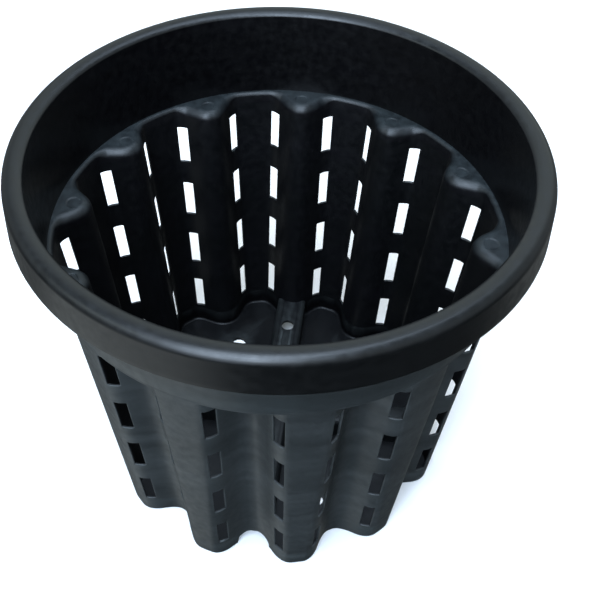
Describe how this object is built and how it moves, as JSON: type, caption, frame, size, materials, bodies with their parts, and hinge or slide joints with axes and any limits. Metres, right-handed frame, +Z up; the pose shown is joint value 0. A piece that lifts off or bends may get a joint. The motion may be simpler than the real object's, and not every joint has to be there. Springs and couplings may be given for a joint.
{
  "type": "root pruning pot",
  "caption": "Round-rimmed plant pot with a fluted, slotted wall that air-prunes roots, an inner ledge and a drained floor crossed by hollow ridges.",
  "frame": {"origin": "centre of the pot's footprint, on the plane that it stands on", "axes": "+Z up along the pot's axis; +X and +Y each run along a drain channel and through the fold at its end"},
  "size_m": [0.3, 0.3, 0.255],
  "materials": {
    "rim_plastic": "satin",
    "collar_plastic": "satin",
    "ledge_plastic": "satin",
    "wall_plastic": "satin",
    "base_plastic": "satin"
  },
  "bodies": {
    "root": {"rim": "rim_plastic", "collar": "collar_plastic", "shoulder_ledge": "ledge_plastic", "wall_flute_01": "wall_plastic", "wall_flute_02": "wall_plastic", "wall_flute_03": "wall_plastic", "wall_flute_04": "wall_plastic", "wall_flute_05": "wall_plastic", "wall_flute_06": "wall_plastic", "wall_flute_07": "wall_plastic", "wall_flute_08": "wall_plastic", "wall_flute_09": "wall_plastic", "wall_flute_10": "wall_plastic", "wall_flute_11": "wall_plastic", "wall_flute_12": "wall_plastic", "base_floor": "base_plastic"}
  },
  "joints": []
}
